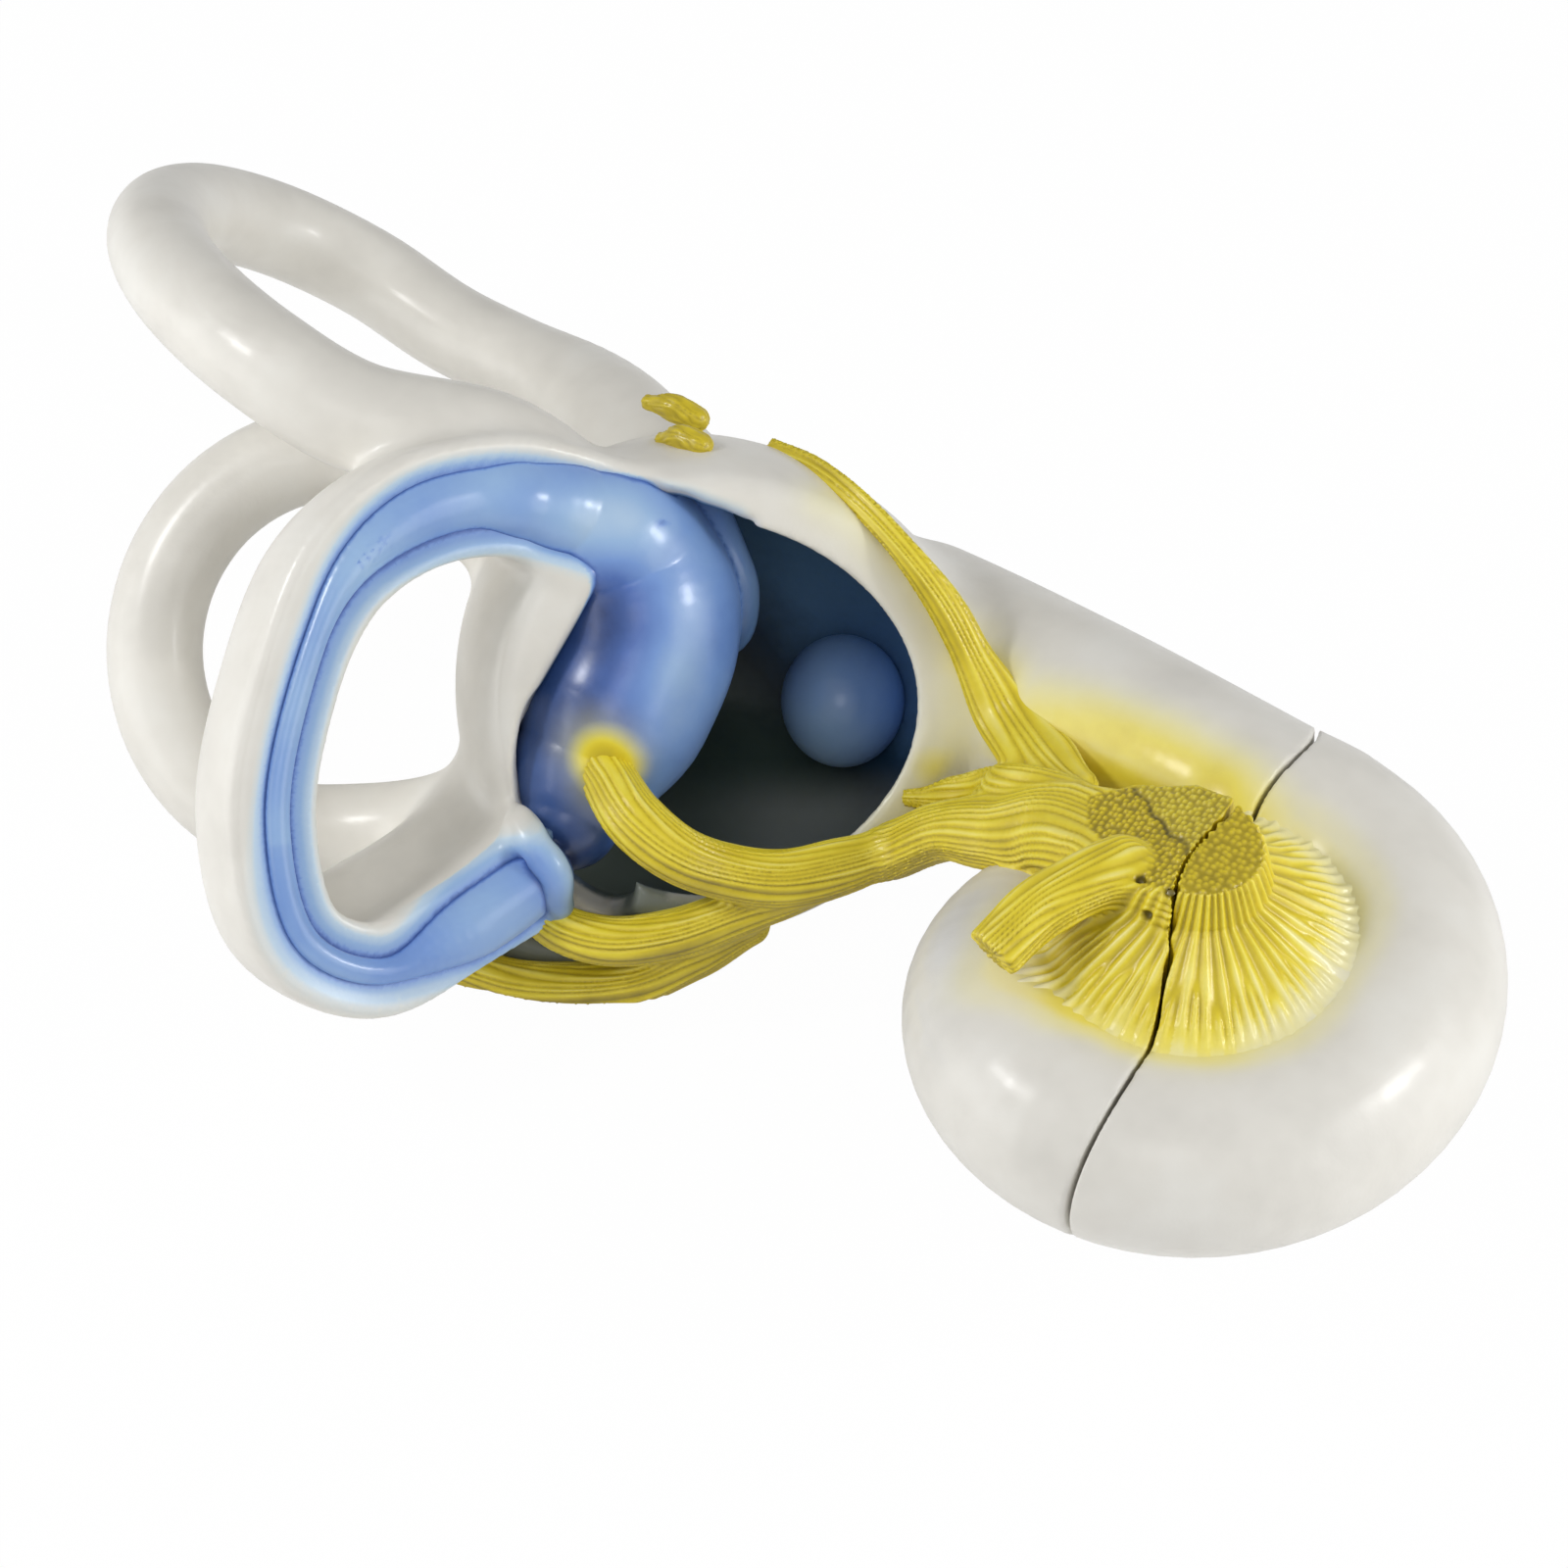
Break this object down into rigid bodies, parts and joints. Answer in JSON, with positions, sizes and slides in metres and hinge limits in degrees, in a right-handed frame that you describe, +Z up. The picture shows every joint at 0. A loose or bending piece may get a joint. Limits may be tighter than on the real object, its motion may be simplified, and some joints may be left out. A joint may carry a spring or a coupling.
{
  "type": "inner ear anatomy model",
  "caption": "Enlarged bony labyrinth of the ear with semicircular canals, an opened vestibule, nerves and a spiral cochlea whose outer half pulls off to show its section.",
  "frame": {"origin": "centre of the flat under the vestibule, on the table that the model rests on", "axes": "+X from the vestibule along the basal turn of the cochlea, the direction in which the outer cochlea half pulls off; +Z up; -Y towards the opened front"},
  "size_m": [0.3137, 0.1601, 0.1002],
  "materials": {
    "bone": "cast resin, hand painted warm off-white with greyer tops, satin lacquer",
    "membrane": "cast resin, airbrushed cornflower blue, satin lacquer",
    "nerve": "cast resin, painted mustard to lemon yellow, satin lacquer",
    "pin_steel": "plain ground pin",
    "socket_brass": "turned bush"
  },
  "bodies": {
    "labyrinth": {"vestibule_shell": "bone", "superior_canal": "bone", "lateral_canal": "bone", "posterior_canal": "bone", "cochlea_base_half": "bone", "utricle": "membrane", "saccule": "membrane", "superior_duct": "membrane", "posterior_duct": "membrane", "nerve_trunk": "nerve", "nerve_stump": "nerve", "cochlear_nerve_fixed": "nerve", "utricular_nerve": "nerve", "posterior_ampullary_nerve": "nerve", "inferior_nerve_strand": "nerve", "saccular_nerve": "nerve", "superior_vestibular_nerve": "nerve", "superior_ampulla_nerve": "nerve", "lateral_ampulla_nerve": "nerve", "basal_duct_fixed": "membrane", "middle_duct_fixed": "membrane", "dowel_pin_front": "pin_steel", "dowel_pin_rear": "pin_steel"},
    "cochlea_cap": {"cochlea_cap_half": "bone", "cochlear_nerve_cap": "nerve", "basal_duct_cap": "membrane", "middle_duct_cap": "membrane", "dowel_socket_front": "socket_brass", "dowel_socket_rear": "socket_brass"}
  },
  "joints": [
    {"name": "cochlea_pull_off", "type": "slide", "parent": "labyrinth", "child": "cochlea_cap", "axis": [1, 0, 0], "range_m": [0, 0.045]}
  ]
}
